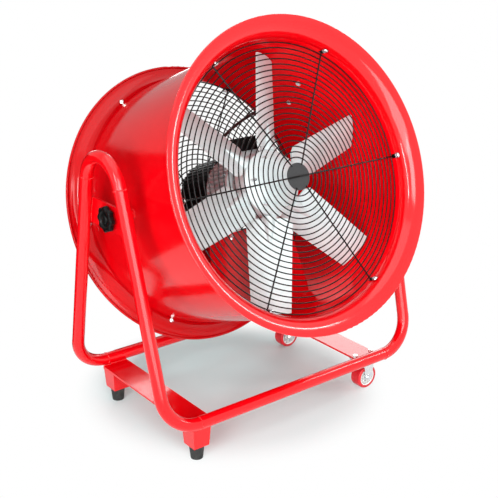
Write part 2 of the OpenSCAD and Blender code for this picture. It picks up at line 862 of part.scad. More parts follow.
// Small pan-head screws of the terminal lid and the switch lid
module cover_screws() {
    head_r = 3.5;
    head_h = 2.2;
    color(zinc) drum_frame() {
        for (sx = [-1, 1], s = [box_s0 + 6, box_s1 - 6]) translate([sx * (box_w - 6), box_y1 + 3, s])
            rotate([-90, 0, 0]) cylinder(r = head_r, h = head_h);
        at_switch() for (y = [-1, 1], z = [-1, 1])
            translate([switch_or + 3, y * (switch_half_w - 5), z * (switch_half_l - 5)]) rotate([0, 90, 0])
                cylinder(r = head_r, h = head_h);
    }
}

module motor_shaft() {
    j0 = frame_s0 - 11;
    j1 = frame_s0 + 6;
    j2 = frame_s1 - 6;
    j3 = hub_back - 10;
    color(steel) drum_frame() difference() {
        rotate_extrude() polygon([
            [0, shaft_tail], [tail_r, shaft_tail], [tail_r, j0], [journal_r, j0],
            [journal_r, j1], [core_r, j1], [core_r, j2], [journal_r, j2],
            [journal_r, j3], [shaft_r, j3], [shaft_r, shaft_end], [0, shaft_end]
        ]);
        translate([-key_w / 2, shaft_r - 4, hub_back]) cube([key_w, 10, 32]);
        translate([0, 0, shaft_end - 22]) cylinder(r = bolt_r + 0.02, h = 30);
    }
}

module rotor_core() {
    color(steel) drum_frame() translate([0, 0, core_s]) difference() {
        cylinder(r = 39.4, h = core_len);
        translate([0, 0, -1]) cylinder(r = core_r + 0.02, h = core_len + 2);
    }
}

module shaft_key() {
    color(steel) drum_frame() translate([-key_w / 2 + 0.02, shaft_r - 3.98, hub_back + 0.1])
        cube([key_w - 0.04, 6.9, 31.8]);
}

module at_blades() {
    for (i = [0:blade_count - 1]) rotate([0, 0, blade_start + i * 360 / blade_count])
        translate([0, 0, blade_s]) children();
}

module stem_sockets() {
    at_blades() rotate([0, 90, 0]) translate([0, 0, stem_in - 1]) cylinder(r = stem_r, h = hub_r);
}

module at_hub_bolts() {
    for (i = [0:blade_count - 1]) rotate([0, 0, blade_start + (i + 0.5) * 360 / blade_count])
        translate([hub_bolt_pcd, 0, 0]) children();
}

// Rear half of the hub, bored and keyed to the shaft
module hub_rear() {
    color(alloy) drum_frame() difference() {
        union() {
            translate([0, 0, hub_back]) cylinder(r = hub_r, h = blade_s - hub_back - ease);
            translate([0, 0, hub_back - 6]) cylinder(r = hub_boss, h = hub_face - hub_back + 6);
        }
        translate([0, 0, hub_back - 10]) cylinder(r = shaft_r + 0.02, h = hub_face);
        translate([-key_w / 2, 0, hub_back - 10]) cube([key_w, shaft_r + 3, 70]);
        stem_sockets();
        at_hub_bolts() translate([0, 0, hub_back - 10]) cylinder(r = screw_hole, h = 100);
    }
}

// Front half of the hub, a domed cap that clamps the blade stems
module hub_front() {
    color(alloy) drum_frame() difference() {
        rotate_extrude() intersection() {
            translate([0, dome_top - dome_r]) circle(r = dome_r);
            translate([0, blade_s]) square([hub_r, dome_r]);
        }
        translate([0, 0, blade_s - 1]) cylinder(r = hub_pocket, h = 24);
        stem_sockets();
        at_hub_bolts() translate([0, 0, blade_s - 5]) cylinder(r = screw_hole, h = 60);
    }
}

// Pitched, cambered paddle blades on round stems
module blades() {
    low = root_chord / 2;
    high = tip_chord / 2;
    far = tip_r - root_r + 5;
    color(alloy) drum_frame() intersection() {
        at_blades() rotate([blade_pitch, 0, 0]) {
            intersection() {
                translate([root_r, 0, -camber_r]) rotate([0, 90, 0]) difference() {
                    cylinder(r = camber_r + blade_t / 2, h = tip_r, $fn = 96);
                    translate([0, 0, -1]) cylinder(r = camber_r - blade_t / 2, h = tip_r + 2, $fn = 96);
                }
                translate([root_r, 0, -30]) linear_extrude(60) polygon([
                    [0, 12 - low], [12, -low], [far, -high],
                    [far, high], [12, low], [0, low - 12]
                ]);
            }
            rotate([0, 90, 0]) translate([0, 0, stem_in])
                cylinder(r = stem_r - ease, h = root_r - stem_in + 1);
            rotate([0, 90, 0]) translate([0, 0, hub_r + 0.5])
                cylinder(r = stem_r + 5, h = root_r - hub_r + 1.5);
            rotate([0, 90, 0]) translate([0, 0, root_r]) cylinder(r1 = stem_r + 2, r2 = 3, h = 60);
        }
        cylinder(r = tip_r, h = 1000, center = true, $fn = fine);
    }
}

module hub_bolts() {
    color(zinc) drum_frame() at_hub_bolts() {
        translate([0, 0, hub_back - 5]) cylinder(r = 5.5, h = 4.9, $fn = 6);
        translate([0, 0, hub_back - 0.5]) cylinder(r = screw_r, h = 66);
    }
}

// Bolt and washer that hold the hub on the shaft
module shaft_bolt() {
    color(zinc) drum_frame() {
        translate([0, 0, hub_face]) cylinder(r = 20, h = 3);
        translate([0, 0, hub_face + 3]) cylinder(r = 7.5, h = 5.5, $fn = 6);
        translate([0, 0, shaft_end - 20]) cylinder(r = bolt_r, h = hub_face + 3 - shaft_end + 20);
    }
}

// Radial fan on the shaft's tail, under the cowl
module cooling_fan() {
    vanes = 8;
    hub = 18;
    back = -94;
    color(black) drum_frame() difference() {
        union() {
            translate([0, 0, back]) cylinder(r = 66, h = 3);
            translate([0, 0, back - 22]) cylinder(r = hub, h = 24);
            for (i = [0:vanes - 1]) rotate([0, 0, i * 360 / vanes]) translate([hub - 2, -1.25, back - 20])
                cube([66 - hub, 2.5, 21]);
        }
        translate([0, 0, back - 30]) cylinder(r = tail_r + 0.02, h = 40);
    }
}

arch(-1);  // left_arch
arch(1);  // right_arch
rail(-1);  // front_rail
rail(1);  // rear_rail
runner(left_x, false);  // left_runner
runner(right_x, true);  // right_runner
foot_posts();
rubber_feet();
pivot_plate(-1);  // left_pivot_plate
pivot_plate(1);  // right_pivot_plate
caster_forks();
caster_axles();
caster_bolts();
caster_nuts();
wheel_core(-1);  // front_wheel_core
wheel_tread(-1);  // front_wheel_tread
wheel_core(1);  // rear_wheel_core
wheel_tread(1);  // rear_wheel_tread
knob(-1);  // left_knob
knob(1);  // right_knob
barrel();
front_bell();
rear_bell();
front_guard_rings();
front_guard_frame();
rear_guard_rings();
rear_guard_frame();
guard_discs();
guard_screws();
guard_nuts();
pivot_bosses();
pivot_studs();
pivot_washers();
motor_pedestal();
motor_frame();
motor_front_shield();
motor_rear_shield();
stator_core();
stator_windings();
motor_bearings();
fan_cowl();
terminal_box();
terminal_lid();
cable_glands();
motor_cable();
motor_bolts();
switch_box();
switch_lid();
switch_box_bolts();
cover_screws();
switch_rocker();
motor_shaft();
rotor_core();
shaft_key();
hub_rear();
hub_front();
blades();
hub_bolts();
shaft_bolt();
cooling_fan();
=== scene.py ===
import json
import math

import bmesh
import bpy
from mathutils import Matrix, Vector


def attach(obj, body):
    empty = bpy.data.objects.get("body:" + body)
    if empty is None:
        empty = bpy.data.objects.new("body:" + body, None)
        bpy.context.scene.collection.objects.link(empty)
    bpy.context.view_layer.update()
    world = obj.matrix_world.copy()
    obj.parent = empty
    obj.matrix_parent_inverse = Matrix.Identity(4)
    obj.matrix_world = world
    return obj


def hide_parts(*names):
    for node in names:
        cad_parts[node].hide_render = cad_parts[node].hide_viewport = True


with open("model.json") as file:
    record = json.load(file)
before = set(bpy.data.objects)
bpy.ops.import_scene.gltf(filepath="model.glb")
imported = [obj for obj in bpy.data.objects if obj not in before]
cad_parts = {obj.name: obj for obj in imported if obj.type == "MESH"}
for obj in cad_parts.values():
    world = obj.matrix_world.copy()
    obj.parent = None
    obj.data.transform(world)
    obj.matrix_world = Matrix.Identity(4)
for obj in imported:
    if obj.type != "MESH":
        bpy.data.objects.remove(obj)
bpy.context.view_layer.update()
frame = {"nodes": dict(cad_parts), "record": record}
nodes = frame["nodes"]
print("frame loaded,", len(nodes), "nodes")

# camera at the photograph's viewing angle
cameraSet = {
    "place": (-1.3134, -1.7108, 1.1556), "azimuth": -37.73, "elevation": 19.75,
    "lens": 69.9, "sensor": 36, "reach": 60,
}


def makeCamera(s):
    az = math.radians(s["azimuth"])
    el = math.radians(s["elevation"])
    back = Vector((math.sin(az) * math.cos(el), -math.cos(az) * math.cos(el), math.sin(el)))
    right = Vector((0, 0, 1)).cross(back).normalized()
    up = back.cross(right)
    cam = bpy.data.cameras.new("photoCamera")
    cam.lens = s["lens"]
    cam.sensor_width = s["sensor"]
    cam.clip_end = s["reach"]
    obj = bpy.data.objects.new("photoCamera", cam)
    turn = Matrix((right, up, back)).transposed()
    obj.matrix_world = Matrix.Translation(s["place"]) @ turn.to_4x4()
    bpy.context.scene.collection.objects.link(obj)
    bpy.context.scene.camera = obj


makeCamera(cameraSet)
print("camera set")


def newMaterial(name):
    mat = bpy.data.materials.new(name)
    mat.use_nodes = True
    tree = mat.node_tree
    shader = tree.nodes["Principled BSDF"]
    coords = tree.nodes.new("ShaderNodeTexCoord")
    return mat, tree, shader, coords.outputs["Object"]


def noiseAt(tree, where, scale, detail=2.0, rough=0.5):
    n = tree.nodes.new("ShaderNodeTexNoise")
    n.inputs["Scale"].default_value = scale
    n.inputs["Detail"].default_value = detail
    n.inputs["Roughness"].default_value = rough
    tree.links.new(where, n.inputs["Vector"])
    return n.outputs["Fac"]


def stretched(tree, where, scale, turn):
    m = tree.nodes.new("ShaderNodeMapping")
    m.inputs["Scale"].default_value = scale
    m.inputs["Rotation"].default_value = turn
    tree.links.new(where, m.inputs["Vector"])
    return m.outputs["Vector"]


def rampColour(tree, fac, stops):
    r = tree.nodes.new("ShaderNodeValToRGB")
    while len(r.color_ramp.elements) < len(stops):
        r.color_ramp.elements.new(0.5)
    for e, (place, colour) in zip(r.color_ramp.elements, stops):
        e.position = place
        e.color = (*colour, 1)
    tree.links.new(fac, r.inputs["Fac"])
    return r.outputs["Color"]


def spread(tree, fac, low, high, start=0.3, end=0.7):
    m = tree.nodes.new("ShaderNodeMapRange")
    m.inputs["From Min"].default_value = start
    m.inputs["From Max"].default_value = end
    m.inputs["To Min"].default_value = low
    m.inputs["To Max"].default_value = high
    tree.links.new(fac, m.inputs["Value"])
    return m.outputs["Result"]


def addBump(tree, shader, height, strength, depth):
    b = tree.nodes.new("ShaderNodeBump")
    b.inputs["Strength"].default_value = strength
    b.inputs["Distance"].default_value = depth
    tree.links.new(height, b.inputs["Height"])
    tree.links.new(b.outputs["Normal"], shader.inputs["Normal"])


# tone, wear and grain are noises: scale, detail, roughness
# wear and grain follow the tone where they have no noise of their own
def makeFinish(name, s):
    mat, tree, shader, where = newMaterial(name)
    if "strokes" in s:
        where = stretched(tree, where, s["strokes"], s["turn"])
    tone = noiseAt(tree, where, *s["tone"])
    wear = noiseAt(tree, where, *s["wear"]) if "wear" in s else tone
    grain = noiseAt(tree, where, *s["grain"]) if "grain" in s else tone
    tree.links.new(rampColour(tree, tone, s["colours"]), shader.inputs["Base Color"])
    tree.links.new(spread(tree, wear, *s["rough"]), shader.inputs["Roughness"])
    for label, value in s["sockets"].items():
        shader.inputs[label].default_value = value
    addBump(tree, shader, grain, *s["bump"])
    return mat


# the drum's frame: tilted about the pivot
drumSet = {"tilt": 20.9, "pivot": (0.0, 0.0, 528.5)}
mm = 0.001
tiltTurn = math.radians(drumSet["tilt"])
drumUp = Vector((0, math.sin(tiltTurn), math.cos(tiltTurn)))
drumAlong = Vector((0, -math.cos(tiltTurn), math.sin(tiltTurn)))

# gloss red enamel with a faint orange peel, sheenier on the front bell and dull inside the barrel; each
# copy's depth lightens or darkens its red as painted light and shade, deepest on the rear bell
redEnamel = {
    "tone": (5.0, 3), "colours": [(0.3, (0.80, 0.0, 0.003)), (0.7, (0.90, 0.001, 0.006))],
    "wear": (38, 3), "rough": (0.09, 0.17), "grain": (260, 1.5), "bump": (0.02, 0.0006), "coatRough": 0.03,
    # copies of one enamel: depth is painted light and shade for each part
    "looks": {
        "redPaint": {"shine": 0.46, "coat": 0.16, "depth": 0.78},
        "redBarrel": {"shine": 0.30, "coat": 0.0, "depth": 1.0},
        "redBell": {"shine": 0.58, "coat": 0.14, "depth": 0.74},
        "redRear": {"shine": 0.26, "coat": 0.06, "depth": 0.52},
    },
    # the barrel's outside red is scaled down here as painted shade
    "dulledAndShaded": "redBarrel", "wallAt": 0.303, "dullShine": 0.012, "outerPaintedShade": 0.70,
}


def insideDrum(tree, where, limit):
    arm = tree.nodes.new("ShaderNodeVectorMath")
    arm.operation = "SUBTRACT"
    arm.inputs[1].default_value = mm * Vector(drumSet["pivot"])
    tree.links.new(where, arm.inputs[0])
    across = tree.nodes.new("ShaderNodeVectorMath")
    across.operation = "CROSS_PRODUCT"
    across.inputs[1].default_value = drumAlong
    tree.links.new(arm.outputs["Vector"], across.inputs[0])
    away = tree.nodes.new("ShaderNodeVectorMath")
    away.operation = "LENGTH"
    tree.links.new(across.outputs["Vector"], away.inputs[0])
    near = tree.nodes.new("ShaderNodeMath")
    near.operation = "LESS_THAN"
    near.inputs[1].default_value = limit
    tree.links.new(away.outputs["Value"], near.inputs[0])
    return near.outputs["Value"]


# the outside of the barrel is painted deeper in colour than the inside, painted shade outside and painted
# light inside; the inside has hardly any gloss
def dullInsideShadeOutside(mat, shine, s):
    tree = mat.node_tree
    shader = tree.nodes["Principled BSDF"]
    where = tree.nodes.new("ShaderNodeTexCoord").outputs["Object"]
    inside = insideDrum(tree, where, s["wallAt"])
    level = spread(tree, inside, shine, s["dullShine"], 0, 1)
    tree.links.new(level, shader.inputs["Specular IOR Level"])
    # painted shade: the outside's red is scaled down, the inside keeps its full red as painted light
    paintedShadeScale = tree.nodes.new("ShaderNodeVectorMath")
    paintedShadeScale.operation = "SCALE"
    tree.links.new(shader.inputs["Base Color"].links[0].from_socket, paintedShadeScale.inputs[0])
    tree.links.new(spread(tree, inside, s["outerPaintedShade"], 1.0, 0, 1), paintedShadeScale.inputs["Scale"])
    tree.links.new(paintedShadeScale.outputs["Vector"], shader.inputs["Base Color"])


def makeRed(name, s):
    look = s["looks"][name]
    # depth scales this copy's red as painted light and shade
    colours = [(place, tuple(look["depth"] * c for c in colour)) for place, colour in s["colours"]]
    sockets = {"Specular IOR Level": look["shine"], "Coat Weight": look["coat"]}
    sockets["Coat Roughness"] = s["coatRough"]
    mat = makeFinish(name, {**s, "colours": colours, "sockets": sockets})
    if name == s["dulledAndShaded"]:
        dullInsideShadeOutside(mat, look["shine"], s)
    return mat


# black powder coat on the guard wires
blackCoat = {
    "tone": (60, 3), "colours": [(0.35, (0.001, 0.001, 0.001)), (0.75, (0.004, 0.004, 0.004))],
    "wear": (120, 2), "rough": (0.14, 0.24), "grain": (1400, 1), "bump": (0.05, 0.0003),
    "sockets": {"Specular IOR Level": 0.22},
}
# dark grey pressed disc, satin, with a faint spun grain
discGrey = {
    "tone": (220, 4, 0.6), "colours": [(0.3, (0.020, 0.020, 0.021)), (0.7, (0.034, 0.034, 0.035))],
    "rough": (0.5, 0.68), "grain": (1100, 2), "bump": (0.15, 0.0002),
    "sockets": {"Specular IOR Level": 0.3},
}
# grey enamel over the cast motor frame, tinted blue-green to take out the red light bounced onto it inside
# the barrel: a painted correction of reflected light
motorGrey = {
    "tone": (24, 4), "colours": [(0.3, (0.50, 0.61, 0.62)), (0.72, (0.70, 0.81, 0.82))],
    "wear": (90, 3), "rough": (0.34, 0.55), "grain": (320, 4, 0.6), "bump": (0.35, 0.0006),
    "sockets": {"Specular IOR Level": 0.4},
}
# bright zinc plate with a slight blue and straw passivation
zincPlate = {
    "tone": (75, 3),
    "colours": [(0.28, (0.62, 0.66, 0.72)), (0.5, (0.80, 0.81, 0.82)), (0.74, (0.78, 0.74, 0.64))],
    "wear": (260, 3), "rough": (0.18, 0.36), "grain": (1800, 2), "bump": (0.10, 0.0002),
    "sockets": {"Metallic": 1.0},
}
# turned and pressed steel, brushed across the shaft
bareSteel = {
    "strokes": (60, 1500, 60), "turn": (tiltTurn, 0, 0),
    "tone": (1.0, 3), "colours": [(0.3, (0.36, 0.37, 0.38)), (0.7, (0.58, 0.59, 0.60))],
    "rough": (0.26, 0.44), "bump": (0.12, 0.0002),
    "sockets": {"Metallic": 1.0},
}
# cast aluminium of the blades and hub, tumbled to a soft silver, tinted blue-green to take out the red
# light bounced inside the barrel: a painted correction of reflected light
castAlloy = {
    "tone": (16, 4, 0.6), "colours": [(0.25, (0.54, 0.62, 0.625)), (0.7, (0.67, 0.745, 0.75))],
    "wear": (140, 3), "rough": (0.36, 0.52), "grain": (900, 3, 0.6), "bump": (0.16, 0.0003),
    "sockets": {"Metallic": 0.15},
}
# moulded black plastic with a fine spark grain
blackMoulded = {
    "tone": (45, 3), "colours": [(0.3, (0.002, 0.002, 0.002)), (0.7, (0.006, 0.006, 0.006))],
    "wear": (300, 2), "rough": (0.26, 0.42), "grain": (1600, 2), "bump": (0.2, 0.0002),
    "sockets": {"Specular IOR Level": 0.18},
}
# white nylon of the wheel centres and pivot washers
whiteNylon = {
    "tone": (55, 3), "colours": [(0.3, (0.70, 0.70, 0.69)), (0.7, (0.82, 0.82, 0.81))],
    "wear": (200, 2), "rough": (0.3, 0.45), "grain": (1300, 2), "bump": (0.1, 0.0002),
    "sockets": {"Subsurface Weight": 0.08, "Subsurface Radius": (0.004, 0.004, 0.004)},
}
# red rocker of the switch
rockerRed = {
    "tone": (70, 3), "colours": [(0.3, (0.42, 0.010, 0.012)), (0.7, (0.56, 0.018, 0.020))],
    "rough": (0.2, 0.32), "grain": (1500, 1), "bump": (0.1, 0.0002),
    "sockets": {},
}
# black rubber of the feet and the cable sheath, a little dusty
blackRubber = {
    "tone": (90, 4),
    "colours": [(0.3, (0.012, 0.012, 0.012)), (0.6, (0.030, 0.030, 0.029)), (0.9, (0.075, 0.072, 0.068))],
    "wear": (260, 2), "rough": (0.5, 0.72), "grain": (1200, 3), "bump": (0.25, 0.0003),
    "sockets": {"Specular IOR Level": 0.35},
}
# red polyurethane of the wheel treads
redTread = {
    "tone": (65, 3), "colours": [(0.3, (0.50, 0.006, 0.014)), (0.7, (0.66, 0.012, 0.022))],
    "wear": (220, 2), "rough": (0.32, 0.5), "grain": (1100, 2), "bump": (0.12, 0.0002),
    "sockets": {"Subsurface Weight": 0.05, "Subsurface Radius": (0.006, 0.001, 0.001)},
}
# varnished copper windings, laid in strands
copperWire = {
    "strokes": (900, 900, 120), "turn": (0, 0, 0),
    "tone": (1.0, 2), "colours": [(0.3, (0.30, 0.085, 0.030)), (0.7, (0.66, 0.26, 0.12))],
    "rough": (0.25, 0.4), "bump": (0.5, 0.0005),
    "sockets": {"Metallic": 0.85},
}

finishes = {
    "red_paint": makeRed("redPaint", redEnamel),
    "black_paint": makeFinish("blackPaint", blackCoat),
    "grey_disc": makeFinish("discGrey", discGrey),
    "grey_paint": makeFinish("motorGrey", motorGrey),
    "zinc": makeFinish("zincPlate", zincPlate),
    "steel": makeFinish("bareSteel", bareSteel),
    "alloy": makeFinish("castAlloy", castAlloy),
    "black_plastic": makeFinish("blackPlastic", blackMoulded),
    "white_plastic": makeFinish("whiteNylon", whiteNylon),
    "red_plastic": makeFinish("rockerRed", rockerRed),
    "black_rubber": makeFinish("blackRubber", blackRubber),
    "red_rubber": makeFinish("redTread", redTread),
    "copper": makeFinish("copperWire", copperWire),
}
for part in frame["record"]["subparts"]:
    for holder in nodes[part["node"]].material_slots:
        holder.material = finishes[part["material_slot"]]
drumReds = {"barrel": "redBarrel", "front_bell": "redBell", "rear_bell": "redRear"}
for node, name in drumReds.items():
    red = makeRed(name, redEnamel)
    for holder in nodes[node].material_slots:
        holder.material = red
print("finishes set,", len(finishes) + len(drumReds))


# places in the drum at rest: x along the tilt axis, up square to it, along towards the front mouth
def drumPoint(x, up, along):
    return mm * (Vector(drumSet["pivot"]) + Vector((x, 0, 0)) + up * drumUp + along * drumAlong)


def roundDrum(radius, angle, along):
    return drumPoint(radius * math.cos(angle), radius * math.sin(angle), along)


def addPiece(name, mesh, body, slot, *stands):
    obj = bpy.data.objects.new(name, mesh)
    bpy.context.scene.collection.objects.link(obj)
    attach(obj, body)
    if stands:
        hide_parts(*stands)
    return obj


def meshFrom(bm, name, material=None, sharp=35, merge=1e-6):
    bmesh.ops.remove_doubles(bm, verts=bm.verts, dist=merge)
    bmesh.ops.recalc_face_normals(bm, faces=bm.faces)
    mesh = bpy.data.meshes.new(name)
    bm.to_mesh(mesh)
    bm.free()
    mesh.shade_smooth()
    mesh.set_sharp_from_angle(angle=math.radians(sharp))
    if material:
        mesh.materials.append(material)
    return mesh


def turnedShape(profile, steps, place):
    bm = bmesh.new()
    rings = []
    for k in range(steps):
        a = 2 * math.pi * k / steps
        rings.append([bm.verts.new(place(point, a)) for point in profile])
    for k in range(steps):
        here, after = rings[k], rings[(k + 1) % steps]
        for i in range(len(profile)):
            j = (i + 1) % len(profile)
            bm.faces.new((here[i], after[i], after[j], here[j]))
    return bm


# a bar with slanted sides, from one level (height, half width) to the next
def addBar(bm, place, inner, outer, levels):
    corners = []
    for level, half in levels:
        for r, side in ((inner, -1), (outer, -1), (outer, 1), (inner, 1)):
            corners.append(bm.verts.new(place(r, side * half, level)))
    for f in ((0, 1, 2, 3), (4, 5, 6, 7), (0, 1, 5, 4), (1, 2, 6, 5), (2, 3, 7, 6), (3, 0, 4, 7)):
        bm.faces.new([corners[i] for i in f])


# node trees: beads along lines, and copies of a shape on points
def newTree(name, sockets):
    tree = bpy.data.node_groups.new(name, "GeometryNodeTree")
    tree.interface.new_socket("Geometry", in_out="INPUT", socket_type="NodeSocketGeometry")
    for label, kind in sockets:
        tree.interface.new_socket(label, in_out="INPUT", socket_type=kind)
    tree.interface.new_socket("Geometry", in_out="OUTPUT", socket_type="NodeSocketGeometry")
    return tree, tree.nodes.new("NodeGroupInput"), tree.nodes.new("NodeGroupOutput")


def endTree(tree, start, end, grown):
    real = tree.nodes.new("GeometryNodeRealizeInstances")
    smooth = tree.nodes.new("GeometryNodeSetShadeSmooth")
    finish = tree.nodes.new("GeometryNodeSetMaterial")
    tree.links.new(grown, real.inputs["Geometry"])
    tree.links.new(real.outputs["Geometry"], smooth.inputs["Geometry"])
    tree.links.new(smooth.outputs["Geometry"], finish.inputs["Geometry"])
    tree.links.new(start.outputs["Finish"], finish.inputs["Material"])
    tree.links.new(finish.outputs["Geometry"], end.inputs["Geometry"])


# weld beads: flattened drops of slightly uneven size
beadSet = {"segments": 8, "rings": 5, "flat": (1.0, 1.0, 0.8), "least": 0.88, "most": 1.08, "seed": 4}


def makeBeadTree(s):
    sizes = [("Pitch", "NodeSocketFloat"), ("Radius", "NodeSocketFloat"), ("Finish", "NodeSocketMaterial")]
    tree, start, end = newTree("beadsAlongLines", sizes)
    curve = tree.nodes.new("GeometryNodeMeshToCurve")
    steps = tree.nodes.new("GeometryNodeResampleCurve")
    steps.mode = "LENGTH"
    drop = tree.nodes.new("GeometryNodeMeshUVSphere")
    drop.inputs["Segments"].default_value = s["segments"]
    drop.inputs["Rings"].default_value = s["rings"]
    flat = tree.nodes.new("GeometryNodeTransform")
    flat.inputs["Scale"].default_value = s["flat"]
    tangent = tree.nodes.new("GeometryNodeInputTangent")
    turn = tree.nodes.new("FunctionNodeAlignRotationToVector")
    turn.axis = "Z"
    vary = tree.nodes.new("FunctionNodeRandomValue")
    vary.data_type = "FLOAT"
    vary.inputs["Min"].default_value = s["least"]
    vary.inputs["Max"].default_value = s["most"]
    vary.inputs["Seed"].default_value = s["seed"]
    place = tree.nodes.new("GeometryNodeInstanceOnPoints")
    link = tree.links.new
    link(start.outputs["Geometry"], curve.inputs["Mesh"])
    link(curve.outputs["Curve"], steps.inputs["Curve"])
    link(start.outputs["Pitch"], steps.inputs["Length"])
    link(start.outputs["Radius"], drop.inputs["Radius"])
    link(drop.outputs["Mesh"], flat.inputs["Geometry"])
    link(steps.outputs["Curve"], place.inputs["Points"])
    link(flat.outputs["Geometry"], place.inputs["Instance"])
    link(tangent.outputs["Tangent"], turn.inputs["Vector"])
    link(turn.outputs["Rotation"], place.inputs["Rotation"])
    link([o for o in vary.outputs if o.enabled][0], place.inputs["Scale"])
    endTree(tree, start, end, place.outputs["Instances"])
    return tree


def makeScatterTree():
    sizes = [("Shape", "NodeSocketObject"), ("Finish", "NodeSocketMaterial")]
    tree, start, end = newTree("shapesOnPoints", sizes)
    shape = tree.nodes.new("GeometryNodeObjectInfo")
    turn = tree.nodes.new("GeometryNodeInputNamedAttribute")
    turn.data_type = "FLOAT_VECTOR"
    turn.inputs["Name"].default_value = "turn"
    place = tree.nodes.new("GeometryNodeInstanceOnPoints")
    link = tree.links.new
    link(start.outputs["Geometry"], place.inputs["Points"])
    link(start.outputs["Shape"], shape.inputs["Object"])
    link(shape.outputs["Geometry"], place.inputs["Instance"])
    link([o for o in turn.outputs if o.enabled][0], place.inputs["Rotation"])
    endTree(tree, start, end, place.outputs["Instances"])
    return tree


def grow(source, tree, values, name):
    ids = {i.name: i.identifier for i in tree.interface.items_tree if i.in_out == "INPUT"}
    step = source.modifiers.new("grow", "NODES")
    step.node_group = tree
    for label, value in values.items():
        step[ids[label]] = value
    graph = bpy.context.evaluated_depsgraph_get()
    mesh = bpy.data.meshes.new_from_object(source.evaluated_get(graph), depsgraph=graph)
    mesh.name = name
    source.modifiers.remove(step)
    bpy.data.objects.remove(source)
    return mesh


def linesObject(lines):
    points, edges = [], []
    for line, closed in lines:
        first = len(points)
        points += [tuple(p) for p in line]
        edges += [(first + i, first + i + 1) for i in range(len(line) - 1)]
        if closed:
            edges.append((first + len(line) - 1, first))
    mesh = bpy.data.meshes.new("lines")
    mesh.from_pydata(points, edges, [])
    obj = bpy.data.objects.new("lines", mesh)
    bpy.context.scene.collection.objects.link(obj)
    return obj


def scatterMesh(name, shape, places, material):
    mesh = bpy.data.meshes.new("spots")
    mesh.from_pydata([tuple(p) for p, axes in places], [], [])
    turns = mesh.attributes.new("turn", "FLOAT_VECTOR", "POINT")
    for item, (p, axes) in zip(turns.data, places):
        item.vector = axes.to_euler()
    spots = bpy.data.objects.new("spots", mesh)
    bpy.context.scene.collection.objects.link(spots)
    helper = bpy.data.objects.new("shape", shape)
    bpy.context.scene.collection.objects.link(helper)
    grown = grow(spots, scatterTree, {"Shape": helper, "Finish": material}, name)
    bpy.data.objects.remove(helper)
    return grown


def axesFrom(x, z):
    z = z.normalized()
    y = z.cross(x).normalized()
    return Matrix((y.cross(z), y, z)).transposed()


beadTree = makeBeadTree(beadSet)
scatterTree = makeScatterTree()
print("node trees made")

# sheathed cable from the motor's terminal box through the barrel wall to the switch box
cableSet = {
    "radius": 4.0, "roundSteps": 4, "angle": 43.5, "wall": 304.0, "grommet": -140.0, "out": 338.5,
    "glandMouth": -86.6, "inside": -58.6, "before": 19, "past": 3, "bendSteps": 6, "between": 4,
    "lead": [
        (0, 100, -36), (0, 100, -66), (2, 101.5, -78), (8, 107, -90), (18, 116, -99), (32, 126, -105),
        (50, 137, -110), (80, 152, -117), (120, 168, -125.5), (160, 181, -133.5), (184, 187.5, -138)],
}


def cableRoute(s):
    turn = math.radians(s["angle"])
    bendFrom = s["wall"] + s["past"]
    bend = s["out"] - bendFrom
    marks = [drumPoint(*p) for p in s["lead"]]
    marks += [roundDrum(r, turn, s["grommet"]) for r in (s["wall"] - s["before"], bendFrom)]
    for k in range(s["bendSteps"]):
        a = math.radians(90 * (k + 1) / s["bendSteps"])
        rise, shift = bend * math.sin(a), bend * (1 - math.cos(a))
        marks.append(roundDrum(bendFrom + rise, turn, s["grommet"] + shift))
    marks += [roundDrum(s["out"], turn, s["glandMouth"]), roundDrum(s["out"], turn, s["inside"])]
    route = []
    for i in range(len(marks) - 1):
        a, b = marks[max(i - 1, 0)], marks[i]
        c, d = marks[i + 1], marks[min(i + 2, len(marks) - 1)]
        span = (c - b).length
        leave = (c - a).normalized() * span
        arrive = (d - b).normalized() * span
        for k in range(s["between"]):
            t = k / s["between"]
            u, w = t * t, t * t * t
            ends = (2 * w - 3 * u + 1) * b + (3 * u - 2 * w) * c
            route.append(ends + (w - 2 * u + t) * leave + (w - u) * arrive)
    route.append(marks[-1])
    return route


def makeCable(s):
    route = cableRoute(s)
    curve = bpy.data.curves.new("motorCable", "CURVE")
    curve.dimensions = "3D"
    curve.bevel_depth = s["radius"] * mm
    curve.bevel_resolution = s["roundSteps"]
    curve.use_fill_caps = True
    line = curve.splines.new("POLY")
    line.points.add(len(route) - 1)
    for p, at in zip(line.points, route):
        p.co = (*at, 1)
    line.use_smooth = True
    curve.materials.append(finishes["black_rubber"])
    obj = addPiece("motorCable", curve, "drum", "black_rubber", "motor_cable")


makeCable(cableSet)

# clamp knobs: eight soft lobes, a dished face, a raised cap and ribs round it
# profile: distance from the middle of the stand, 1 where it is lobed, radius or what it adds to the lobes
knobSet = {
    "lobes": 8, "tip": 28.9, "root": 24.4, "soften": 0.8, "steps": 192, "sharp": 50, "height": 528.5,
    "ribs": 16, "ribIn": 9.2, "ribOut": 15.4, "ribLevels": [(371.0, 0.7), (373.6, 0.42)],
    "profile": [
        (358.4, 0, 6.2), (358.4, 0, 14.0), (363.3, 0, 14.0), (363.3, 1, -2.4), (363.8, 1, -0.9),
        (365.0, 1, 0.0), (372.6, 1, 0.0), (374.2, 1, -0.7), (375.0, 1, -2.2), (375.2, 1, -4.0),
        (375.0, 0, 18.6), (374.2, 0, 17.4), (371.8, 0, 16.4), (371.2, 0, 15.2), (371.2, 0, 9.8),
        (371.8, 0, 9.2), (374.2, 0, 8.8), (375.0, 0, 7.6), (375.2, 0, 5.0), (375.2, 0, 0.0),
        (372.0, 0, 0.0), (370.2, 0, 0.0), (370.2, 0, 6.2)],
}


